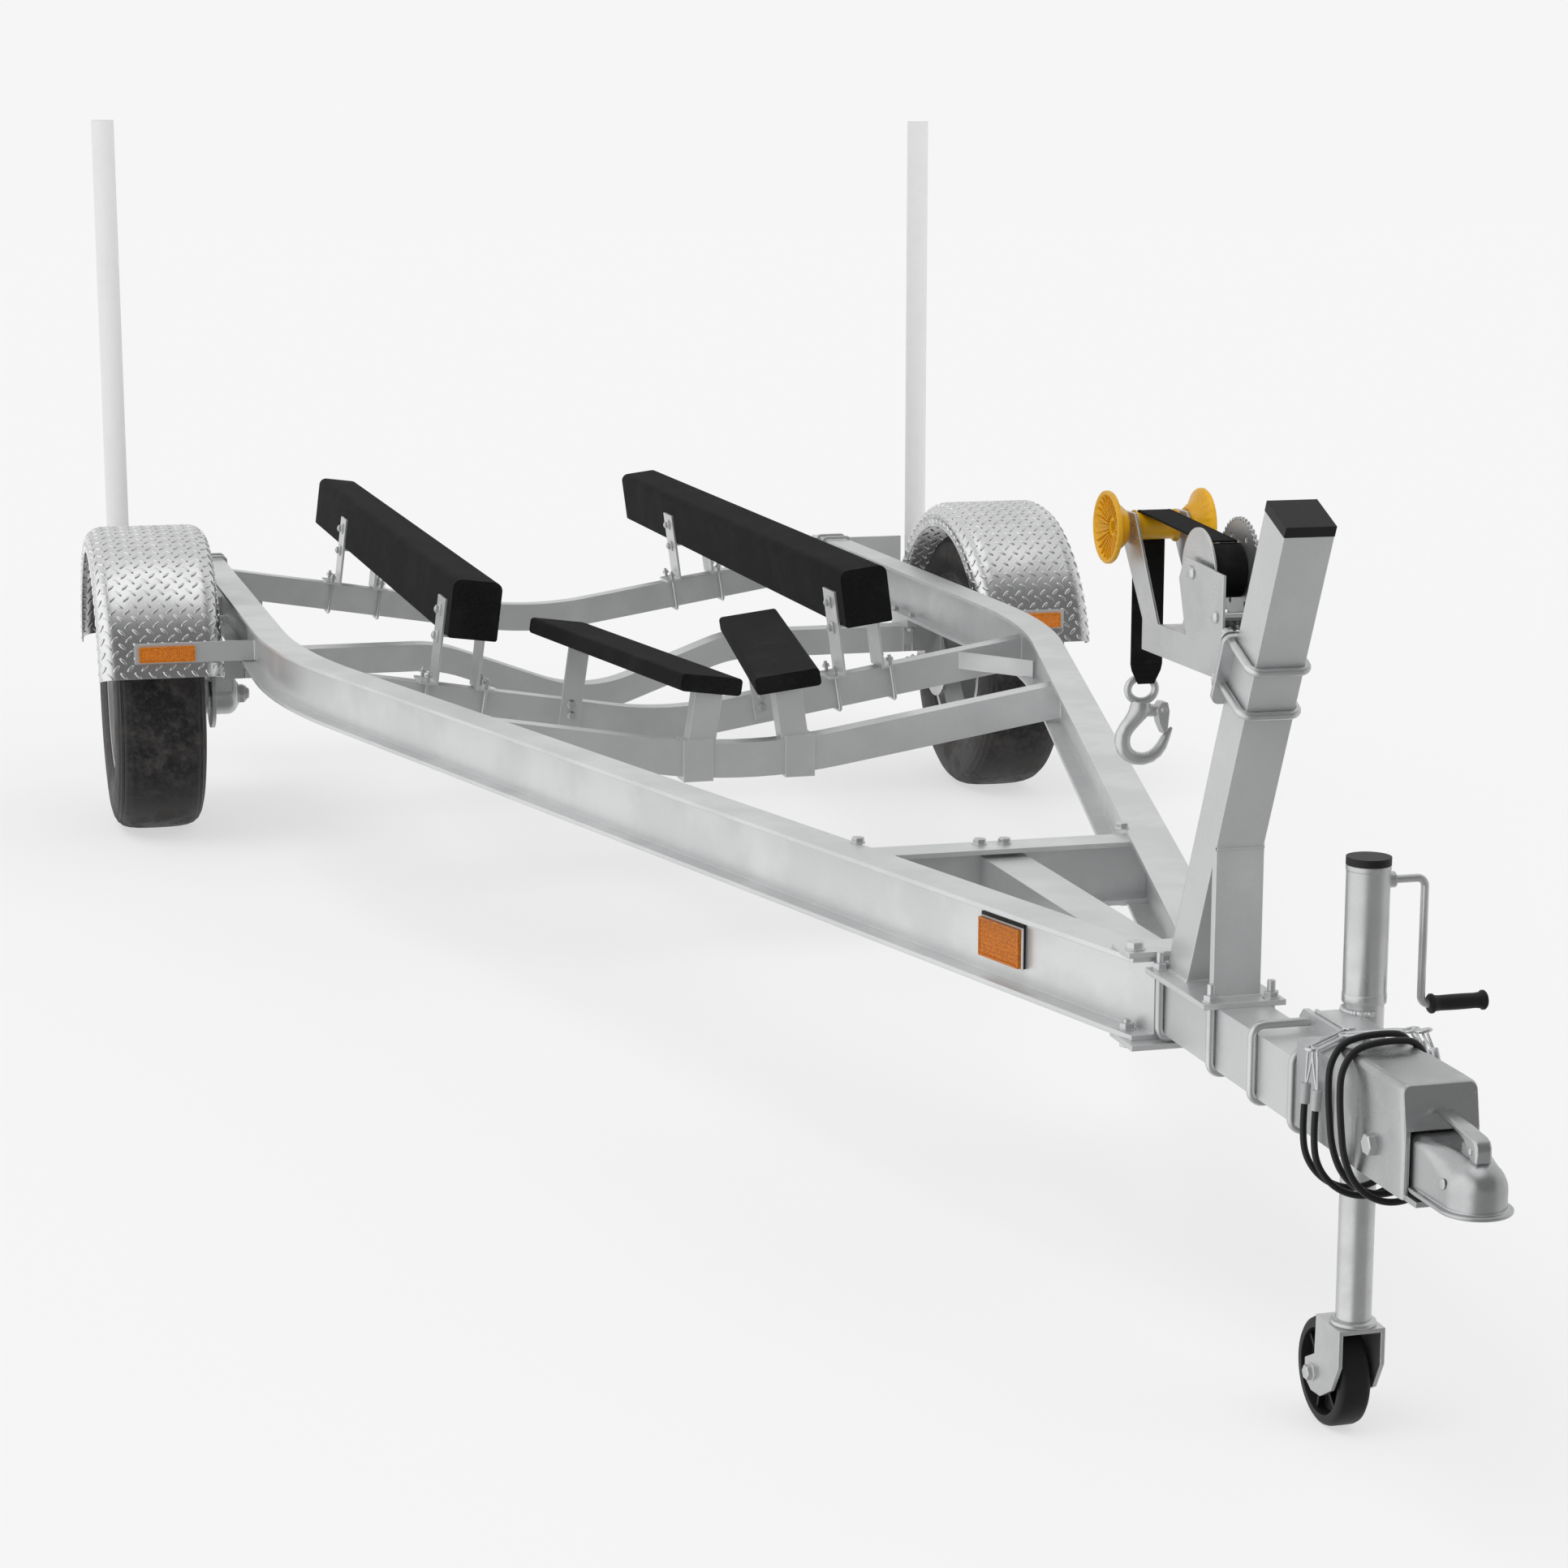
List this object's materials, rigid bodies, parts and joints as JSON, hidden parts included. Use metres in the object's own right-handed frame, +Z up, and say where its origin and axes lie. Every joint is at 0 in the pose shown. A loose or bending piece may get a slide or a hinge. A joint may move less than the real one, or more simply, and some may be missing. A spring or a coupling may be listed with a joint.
{
  "type": "boat trailer",
  "caption": "Single-axle boat trailer with bent I-beam frame, padded bunks, guide poles, winch stand with bow roller, side jack and ball coupler.",
  "frame": {"origin": "on the ground, under the middle of the trailer's box measured without the safety cables", "axes": "+X forward towards the coupler, +Y to the left side, +Z up"},
  "size_m": [6.615, 2.585, 1.807],
  "materials": {
    "galvanised": "hot-dip galvanised steel, matt grey with faint cloudy spangle",
    "zinc": "bright zinc plate",
    "aluminium": "polished aluminium tread plate",
    "tyre": "black tyre rubber, slightly dusty",
    "black_plastic": "black moulded plastic",
    "amber_lens": "prismatic amber lens",
    "red_lens": "prismatic red lens",
    "white_tube": "white plastic tube",
    "bunk_carpet": "black bunk carpet over timber",
    "strap": "black webbing",
    "amber_roller": "translucent amber polyurethane",
    "black_cable": "black plastic-covered wire rope"
  },
  "bodies": {
    "frame": {"beam_left": "galvanised", "beam_right": "galvanised", "rear_cross_member": "galvanised", "bunk_cross_member": "galvanised", "keel_cross_member": "galvanised", "front_cross_beam": "galvanised", "tongue_tube": "galvanised", "apex_plates": "galvanised", "axle_beam": "galvanised", "axle_ends": "galvanised", "axle_brackets": "galvanised", "fender_left": "aluminium", "fender_right": "aluminium", "fender_bars": "galvanised", "marker_plates": "black_plastic", "amber_lenses": "amber_lens", "rear_arms": "galvanised", "guide_poles": "white_tube", "tail_lamps": "red_lens", "bunk_left": "bunk_carpet", "bunk_right": "bunk_carpet", "bunk_brackets": "galvanised", "keel_bunk_left": "bunk_carpet", "keel_bunk_right": "bunk_carpet", "keel_posts": "galvanised", "winch_stand": "galvanised", "tube_caps": "black_plastic", "winch_frame": "zinc", "winch_strap": "strap", "winch_hook": "zinc", "jack_bracket": "zinc", "jack_tube": "zinc", "coupler_housing": "galvanised", "coupler_head": "zinc", "latch_lever": "zinc", "safety_cable_left": "black_cable", "safety_cable_right": "black_cable", "cable_ferrules": "zinc"},
    "wheel_left_body": {"wheel_left": "galvanised", "tyre_left": "tyre"},
    "wheel_right_body": {"wheel_right": "galvanised", "tyre_right": "tyre"},
    "drum_body": {"winch_drum": "zinc", "strap_coil": "strap"},
    "roller_body": {"bow_roller": "amber_roller"},
    "jack_leg_body": {"jack_leg": "zinc"},
    "caster_body": {"caster_wheel": "black_plastic"},
    "crank_body": {"jack_crank": "zinc", "crank_grip": "black_plastic"}
  },
  "joints": [
    {"name": "wheel_left_spin", "type": "hinge", "parent": "frame", "child": "wheel_left_body", "pos_m": [-1.9335, 1.141, 0.352], "axis": [0, 1, 0], "continuous": true},
    {"name": "wheel_right_spin", "type": "hinge", "parent": "frame", "child": "wheel_right_body", "pos_m": [-1.9335, -1.141, 0.352], "axis": [0, 1, 0], "continuous": true},
    {"name": "winch_drum_turn", "type": "hinge", "parent": "frame", "child": "drum_body", "pos_m": [2.4365, 0, 1.167], "axis": [0, 1, 0], "continuous": true},
    {"name": "bow_roller_spin", "type": "hinge", "parent": "frame", "child": "roller_body", "pos_m": [2.1915, 0, 1.202], "axis": [0, 1, 0], "continuous": true},
    {"name": "jack_slide", "type": "slide", "parent": "frame", "child": "jack_leg_body", "axis": [0, 0, 1], "range_m": [0, 0.114]},
    {"name": "caster_spin", "type": "hinge", "parent": "jack_leg_body", "child": "caster_body", "pos_m": [2.6565, 0.109, 0.076], "axis": [0, 1, 0], "continuous": true},
    {"name": "jack_crank_turn", "type": "hinge", "parent": "frame", "child": "crank_body", "pos_m": [2.7125, 0.16, 0.782], "axis": [0, 1, 0], "continuous": true}
  ]
}
